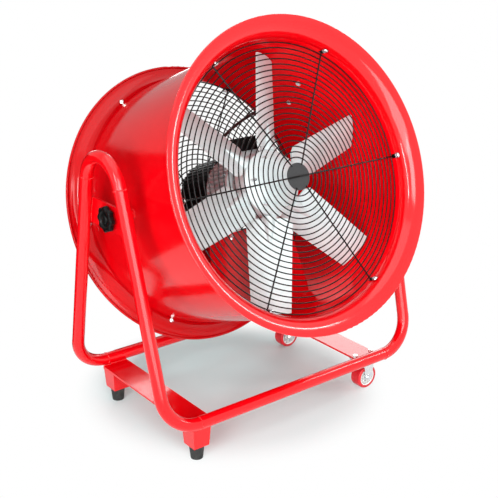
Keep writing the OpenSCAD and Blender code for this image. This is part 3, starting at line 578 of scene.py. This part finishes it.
def makeKnob(name, side, body, node, s):
    centre = Vector((0, 0, s["height"]))

    def place(item, angle):
        x, lobed, size = item
        wave = 0.5 + 0.5 * math.cos(s["lobes"] * angle)
        radius = size + lobed * (s["root"] + (s["tip"] - s["root"]) * wave ** s["soften"])
        return mm * (centre + Vector((side * x, radius * math.sin(angle), radius * math.cos(angle))))

    bm = turnedShape(s["profile"], s["steps"], place)
    for k in range(s["ribs"]):
        a = 2 * math.pi * (k + 0.5) / s["ribs"]
        out = Vector((0, math.sin(a), math.cos(a)))
        across = Vector((0, math.cos(a), -math.sin(a)))

        def onFace(r, w, x):
            return mm * (centre + Vector((side * x, 0, 0)) + r * out + w * across)

        addBar(bm, onFace, s["ribIn"], s["ribOut"], s["ribLevels"])
    mesh = meshFrom(bm, name, finishes["black_plastic"], s["sharp"])
    addPiece(name, mesh, body, "black_plastic", node)


makeKnob("leftKnob", -1, "left_knob_body", "left_knob", knobSet)
makeKnob("rightKnob", 1, "right_knob_body", "right_knob", knobSet)

# caster wheel centres: rim, thin web and hub in one turning, with spokes on both faces
wheelSet = {
    "x": 258.0, "y": 152.0, "z": 30.0, "steps": 64, "spokes": 8,
    "spokeIn": 8.6, "spokeOut": 20.0, "spokeLevels": [(2.2, 1.3), (12.4, 0.91)], "spokeEdge": 0.35,
    "profile": [
        (4.08, -14.0), (8.4, -14.0), (9.0, -13.4), (9.3, -3.0), (9.9, -2.4), (18.6, -2.4),
        (19.2, -3.0), (19.6, -13.3), (20.2, -14.0), (22.6, -14.0), (22.95, -13.6), (22.95, 13.6),
        (22.6, 14.0), (20.2, 14.0), (19.6, 13.3), (19.2, 3.0), (18.6, 2.4), (9.9, 2.4),
        (9.3, 3.0), (9.0, 13.4), (8.4, 14.0), (4.08, 14.0)],
}


def spokeShape(s):
    bm = bmesh.new()
    addBar(bm, lambda r, w, y: mm * Vector((r, w, y)), s["spokeIn"], s["spokeOut"], s["spokeLevels"])
    bmesh.ops.bevel(bm, geom=bm.edges[:], offset=s["spokeEdge"] * mm, segments=1, affect="EDGES")
    return meshFrom(bm, "spoke")


def makeWheelCore(name, side, body, node, s):
    centre = Vector((s["x"], side * s["y"], s["z"]))

    def place(point, a):
        r, h = point
        return mm * (centre + Vector((r * math.cos(a), h, r * math.sin(a))))

    bm = turnedShape(s["profile"], s["steps"], place)
    places = []
    for k in range(s["spokes"]):
        a = 2 * math.pi * k / s["spokes"]
        for face in (-1, 1):
            axes = axesFrom(Vector((math.cos(a), 0, math.sin(a))), Vector((0, face, 0)))
            places.append((mm * centre, axes))
    spokes = scatterMesh(name + "Spokes", spokeShape(s), places, finishes["white_plastic"])
    bm.from_mesh(spokes)
    bpy.data.meshes.remove(spokes)
    addPiece(name, meshFrom(bm, name, finishes["white_plastic"]), body, "white_plastic", node)


makeWheelCore("frontWheelCore", -1, "front_wheel", "front_wheel_core", wheelSet)
makeWheelCore("rearWheelCore", 1, "rear_wheel", "rear_wheel_core", wheelSet)

# domed guard screws with a cross recess, six in each mouth
screwSet = {
    "seat": 300.2, "along": 202.0, "count": 6, "steps": 32, "sharp": 40,
    "slotLong": 3.0, "slotWide": 0.62, "slotDeep": 1.0, "slotOver": 1.5,
    "profile": [
        (0.0, 4.0), (1.4, 3.93), (2.8, 3.7), (4.2, 3.25), (5.4, 2.6), (6.3, 1.75), (6.85, 0.8),
        (7.0, 0.2), (6.9, 0.0), (3.0, 0.0), (3.0, -13.4), (2.4, -13.9), (0.0, -13.9)],
}


def screwShape(s):
    def place(point, a):
        r, h = point
        return mm * Vector((r * math.cos(a), r * math.sin(a), h))

    head = bpy.data.objects.new("head", meshFrom(turnedShape(s["profile"], s["steps"], place), "head"))
    bm = bmesh.new()
    top = s["profile"][0][1]
    for long, wide in ((s["slotLong"], s["slotWide"]), (s["slotWide"], s["slotLong"])):
        for v in bmesh.ops.create_cube(bm, size=1.0)["verts"]:
            height = top + s["slotOver"] if v.co.z > 0 else top - s["slotDeep"]
            v.co = mm * Vector((2 * long * v.co.x, 2 * wide * v.co.y, height))
    cutMesh = bpy.data.meshes.new("cross")
    bm.to_mesh(cutMesh)
    bm.free()
    cross = bpy.data.objects.new("cross", cutMesh)
    for o in (head, cross):
        bpy.context.scene.collection.objects.link(o)
    cut = head.modifiers.new("recess", "BOOLEAN")
    cut.operation = "DIFFERENCE"
    cut.solver = "EXACT"
    cut.use_self = True
    cut.object = cross
    graph = bpy.context.evaluated_depsgraph_get()
    mesh = bpy.data.meshes.new_from_object(head.evaluated_get(graph), depsgraph=graph)
    bpy.data.objects.remove(head)
    bpy.data.objects.remove(cross)
    return mesh


def makeScrews(s):
    places = []
    for end in (-1, 1):
        for k in range(s["count"]):
            a = 2 * math.pi * k / s["count"]
            seat = roundDrum(s["seat"], a, end * s["along"])
            inward = roundDrum(0, a, end * s["along"]) - seat
            places.append((seat, axesFrom(drumAlong, inward)))
    mesh = scatterMesh("guardScrews", screwShape(s), places, finishes["zinc"])
    mesh.set_sharp_from_angle(angle=math.radians(s["sharp"]))
    addPiece("guardScrews", mesh, "drum", "zinc", "guard_screws")


makeScrews(screwSet)

# weld beads of the cradle: rail joints, bow joints, runners, foot posts and pivot plates
cradleSet = {
    "lowHalf": 359.4, "lean": 1.4391, "legTurn": 14.264, "bowHeight": 507.4, "tube": 14.5,
    "railY": 198.6, "railZ": 100.7, "railEnd": 277.9,
    "runnerX": (-259.0, 258.0), "runnerLine": 31.0, "runnerEnd": 191.4, "runnerTop": 86.8,
    "postX": -267.0, "postY": 170.0, "postHalf": 23.4, "postTop": 80.6,
    "plateFace": 358.2, "plateZ": (502.0, 556.0), "plateGap": 0.6, "plateSteps": 9,
    "sink": 0.5, "ringSteps": 48, "bead": 1.7, "pitch": 2.3,
}


def legPoint(s, sx, sy, height):
    lean, turn = math.radians(s["lean"]), math.radians(s["legTurn"])
    y = sy * (s["railY"] - height * math.tan(turn))
    return Vector((sx * (s["lowHalf"] + height * math.sin(lean)), y, s["railZ"] + height * math.cos(lean)))


def ringAbout(centre, axis, radius, count):
    start = Vector((1, 0, 0)) if abs(axis.normalized().x) < 0.9 else Vector((0, 1, 0))
    axes = axesFrom(start, axis)
    ring = []
    for k in range(count):
        a = 2 * math.pi * k / count
        ring.append(mm * (centre + axes @ Vector((radius * math.cos(a), radius * math.sin(a), 0))))
    return ring


def straightLine(a, b, count=9):
    return [mm * (Vector(a).lerp(Vector(b), k / (count - 1))) for k in range(count)]


def layBeads(name, lines, body, s):
    values = {"Pitch": s["pitch"] * mm, "Radius": s["bead"] * mm, "Finish": finishes["red_paint"]}
    addPiece(name, grow(linesObject(lines), beadTree, values, name), body, "red_paint")


def cradleWelds(s):
    lines = []
    ring = s["tube"] - s["sink"]
    low, high = s["plateZ"]
    for sy in (-1, 1):
        for sx in (-1, 1):
            rail = Vector((sx * s["railEnd"], sy * s["railY"], s["railZ"]))
            lines.append((ringAbout(rail, Vector((1, 0, 0)), ring, s["ringSteps"]), True))
            joint = legPoint(s, sx, sy, s["bowHeight"])
            lines.append((ringAbout(joint, joint - legPoint(s, sx, sy, 0), ring, s["ringSteps"]), True))
            edge = []
            for k in range(s["plateSteps"] + 1):
                z = low + (high - low) * k / s["plateSteps"]
                leg = legPoint(s, sx, sy, z - s["railZ"])
                near = math.sqrt(s["tube"] ** 2 - (abs(leg.x) - s["plateFace"]) ** 2)
                edge.append(mm * Vector((sx * s["plateFace"], leg.y - sy * (near + s["plateGap"]), z)))
            lines.append((edge, False))
        for x in s["runnerX"]:
            y, z = sy * s["runnerEnd"], s["runnerTop"]
            lines.append((straightLine((x - s["runnerLine"], y, z), (x + s["runnerLine"], y, z)), False))
        h = s["postHalf"]
        x, y, z = s["postX"], sy * s["postY"], s["postTop"]
        corners = [(x - h, y - h, z), (x + h, y - h, z), (x + h, y + h, z), (x - h, y + h, z)]
        lines.append(([mm * Vector(c) for c in corners], True))
    layBeads("cradleWelds", lines, "cradle", s)


cradleWelds(cradleSet)

# weld beads of the drum: pivot bosses on the barrel and the motor stand inside it
drumWeldSet = {
    "barrelOut": 304.0, "barrelIn": 301.6, "boss": 9.4, "bossSteps": 40,
    "webs": (-84.0, -24.0), "webThick": 4.0, "webHalf": 26.0, "webGap": 0.6, "webSteps": 40,
    "bead": 1.6, "pitch": 2.2,
}


def drumWelds(s):
    lines = []
    for side in (-1, 1):
        ring = []
        for k in range(s["bossSteps"]):
            a = 2 * math.pi * k / s["bossSteps"]
            up, along = s["boss"] * math.sin(a), s["boss"] * math.cos(a)
            ring.append(drumPoint(side * math.sqrt(s["barrelOut"] ** 2 - up * up), up, along))
        lines.append((ring, True))
    half = math.radians(s["webHalf"])
    turns = [-math.pi / 2 + half * (2 * k / s["webSteps"] - 1) for k in range(s["webSteps"] + 1)]
    for web in s["webs"]:
        for along in (web - s["webGap"], web + s["webThick"] + s["webGap"]):
            lines.append(([roundDrum(s["barrelIn"], a, along) for a in turns], False))
    layBeads("drumWelds", lines, "drum", s)


drumWelds(drumWeldSet)

# spot welds where the guard rings cross the spokes
spotSet = {
    "spokes": 6, "rings": 22, "first": 42.0, "pitch": 12.1, "face": 199.0, "fall": 14.0, "lift": 1.5,
    "size": (1.7, 1.7, 1.3), "segments": 8, "layers": 5,
}


def spotShape(s):
    bm = bmesh.new()
    bmesh.ops.create_uvsphere(bm, u_segments=s["segments"], v_segments=s["layers"], radius=mm)
    for v in bm.verts:
        v.co = Vector((v.co.x * s["size"][0], v.co.y * s["size"][1], v.co.z * s["size"][2]))
    return meshFrom(bm, "spot")


def guardSpots(s):
    places = []
    for end in (-1, 1):
        for k in range(s["rings"]):
            radius = s["first"] + k * s["pitch"]
            along = s["face"] - s["fall"] * k / (s["rings"] - 1) + s["lift"]
            for i in range(s["spokes"]):
                spot = roundDrum(radius, 2 * math.pi * i / s["spokes"], end * along)
                places.append((spot, axesFrom(Vector((1, 0, 0)), drumAlong)))
    mesh = scatterMesh("guardSpots", spotShape(s), places, finishes["black_paint"])
    addPiece("guardSpots", mesh, "drum", "black_paint")


guardSpots(spotSet)
print("pieces made")


# 1 for camera, glossy and transmission rays, 0 for rays that only light things
def seenRays(tree):
    path = tree.nodes.new("ShaderNodeLightPath")
    first = tree.nodes.new("ShaderNodeMath")
    first.operation = "MAXIMUM"
    tree.links.new(path.outputs["Is Camera Ray"], first.inputs[0])
    tree.links.new(path.outputs["Is Glossy Ray"], first.inputs[1])
    second = tree.nodes.new("ShaderNodeMath")
    second.operation = "MAXIMUM"
    tree.links.new(first.outputs["Value"], second.inputs[0])
    tree.links.new(path.outputs["Is Transmission Ray"], second.inputs[1])
    return second.outputs["Value"]


# pale floor painted darker and blue-green near the object, a painted shadow that also takes out the red
# light bounced onto it; it fades to the white of the surroundings
floorSet = {
    "half": 16.0, "drop": 0.0004, "centre": (0.0, 0.06, 0.0),
    # near is the painted shadow colour by the object, pale is the floor's own colour
    "near": (0.57, 0.73, 0.73), "pale": (0.93, 0.93, 0.93), "paintedShadeTo": 0.10, "paleFrom": 1.30,
    "fadeFrom": 0.27, "fadeTo": 0.40, "leastGlow": 0.02,
}


def makeFloor(s):
    h = s["half"]
    z = -s["drop"]
    mesh = bpy.data.meshes.new("floor")
    mesh.from_pydata([(-h, -h, z), (h, -h, z), (h, h, z), (-h, h, z)], [], [(0, 1, 2, 3)])
    obj = bpy.data.objects.new("floor", mesh)
    bpy.context.scene.collection.objects.link(obj)
    mat = bpy.data.materials.new("floorPaintedShade")
    mat.use_nodes = True
    tree = mat.node_tree
    tree.nodes.clear()
    out = tree.nodes.new("ShaderNodeOutputMaterial")
    matte = tree.nodes.new("ShaderNodeBsdfDiffuse")
    glow = tree.nodes.new("ShaderNodeEmission")
    coords = tree.nodes.new("ShaderNodeTexCoord")
    away = tree.nodes.new("ShaderNodeVectorMath")
    away.operation = "DISTANCE"
    away.inputs[1].default_value = s["centre"]
    tree.links.new(coords.outputs["Object"], away.inputs[0])
    near = spread(tree, away.outputs["Value"], 0, 1, s["paintedShadeTo"], s["paleFrom"])
    # painted shadow: the floor's colour is darker and blue-green near the object
    paintedShadeTint = rampColour(tree, near, [(0.0, s["near"]), (1.0, s["pale"])])
    tree.links.new(paintedShadeTint, matte.inputs["Color"])
    fade = tree.nodes.new("ShaderNodeMapRange")
    fade.interpolation_type = "SMOOTHSTEP"
    fade.inputs["From Min"].default_value = s["fadeFrom"]
    fade.inputs["From Max"].default_value = s["fadeTo"]
    fade.inputs["To Min"].default_value = s["leastGlow"]
    tree.links.new(away.outputs["Value"], fade.inputs["Value"])
    both = tree.nodes.new("ShaderNodeMath")
    both.operation = "MULTIPLY"
    tree.links.new(seenRays(tree), both.inputs[0])
    tree.links.new(fade.outputs["Result"], both.inputs[1])
    mix = tree.nodes.new("ShaderNodeMixShader")
    tree.links.new(both.outputs["Value"], mix.inputs["Fac"])
    tree.links.new(matte.outputs["BSDF"], mix.inputs[1])
    tree.links.new(glow.outputs["Emission"], mix.inputs[2])
    tree.links.new(mix.outputs["Shader"], out.inputs["Surface"])
    mesh.materials.append(mat)


makeFloor(floorSet)

# white surroundings, with a lower level for the light they give
skySet = {"fill": 0.40, "seen": 1.0}


def makeSky(s):
    world = bpy.data.worlds.new("studio")
    bpy.context.scene.world = world
    world.use_nodes = True
    tree = world.node_tree
    back = tree.nodes["Background"]
    back.inputs["Color"].default_value = (1, 1, 1, 1)
    level = spread(tree, seenRays(tree), s["fill"], s["seen"], 0, 1)
    tree.links.new(level, back.inputs["Strength"])


makeSky(skySet)

# soft studio lamps; the left fill shows in no reflection
lampSet = {
    "overhead": {"place": (-0.3, -0.2, 2.7), "aim": (0, 0, 0.4), "size": (2.2, 2.2), "power": 14},
    "frontal": {"place": (-1.2, -2.4, 1.9), "aim": (0, 0, 0.55), "size": (1.3, 1.3), "power": 34},
    "camSide": {"place": (-2.3, -1.0, 1.5), "aim": (0, 0, 0.5), "size": (0.08, 1.7), "power": 22},
    "farSide": {"place": (2.2, -1.4, 1.7), "aim": (0, 0, 0.5), "size": (0.16, 1.7), "power": 20},
    "lowFront": {"place": (-0.9, -2.1, 0.68), "aim": (0.1, 0, 0.65), "size": (2.2, 1.2), "power": 32},
    "leftFill": {"place": (-2.1, -1.35, 0.95), "aim": (0.2, -0.1, 0.55), "size": (0.9, 0.9), "power": 28,
                 "gloss": False},
    "backWall": {"place": (1.7, 2.3, 1.1), "aim": (0, 0, 0.4), "size": (2.6, 1.3), "power": 34},
}


def makeLamps(lamps):
    for name, s in lamps.items():
        light = bpy.data.lights.new(name, "AREA")
        light.shape = "RECTANGLE"
        light.size, light.size_y = s["size"]
        light.energy = s["power"]
        obj = bpy.data.objects.new(name, light)
        aim = Vector(s["aim"]) - Vector(s["place"])
        turn = aim.to_track_quat("-Z", "Y").to_matrix()
        obj.matrix_world = Matrix.Translation(s["place"]) @ turn.to_4x4()
        obj.visible_camera = False
        obj.visible_glossy = s.get("gloss", True)
        bpy.context.scene.collection.objects.link(obj)


makeLamps(lampSet)

# panels behind the object that show only in reflections: dark ones for the deep red, a grey one above
flagTint = (0.01, 0.01, 0.01, 1)
flagSet = [
    {"from": (-1.7, 0.95, 0.0), "to": (-0.05, 0.95, 0.74), "glow": 0.0},
    {"from": (-1.7, 0.42, 0.001), "to": (-0.05, 0.95, 0.001), "glow": 0.0},
    {"from": (-0.05, 0.62, 0.0), "to": (0.95, 0.62, 0.42), "glow": 0.0},
    {"from": (-1.7, 0.95, 0.74), "to": (0.6, 1.60, 3.0), "glow": 0.5},
]


def makeFlag(s):
    mesh = bpy.data.meshes.new("flag")
    a, b = s["from"], s["to"]
    mesh.from_pydata([a, (b[0], a[1], a[2]), b, (a[0], b[1], b[2])], [], [(0, 1, 2, 3)])
    obj = bpy.data.objects.new("flag", mesh)
    bpy.context.scene.collection.objects.link(obj)
    mat = bpy.data.materials.new("flagDark")
    mat.use_nodes = True
    shader = mat.node_tree.nodes["Principled BSDF"]
    shader.inputs["Base Color"].default_value = flagTint
    shader.inputs["Specular IOR Level"].default_value = 0.0
    shader.inputs["Emission Color"].default_value = (1, 1, 1, 1)
    shader.inputs["Emission Strength"].default_value = s["glow"]
    mesh.materials.append(mat)
    obj.visible_camera = False
    obj.visible_diffuse = False
    obj.visible_shadow = False
    obj.visible_transmission = False


for panel in flagSet:
    makeFlag(panel)
bpy.context.scene.view_settings.view_transform = "Standard"
print("stage set")
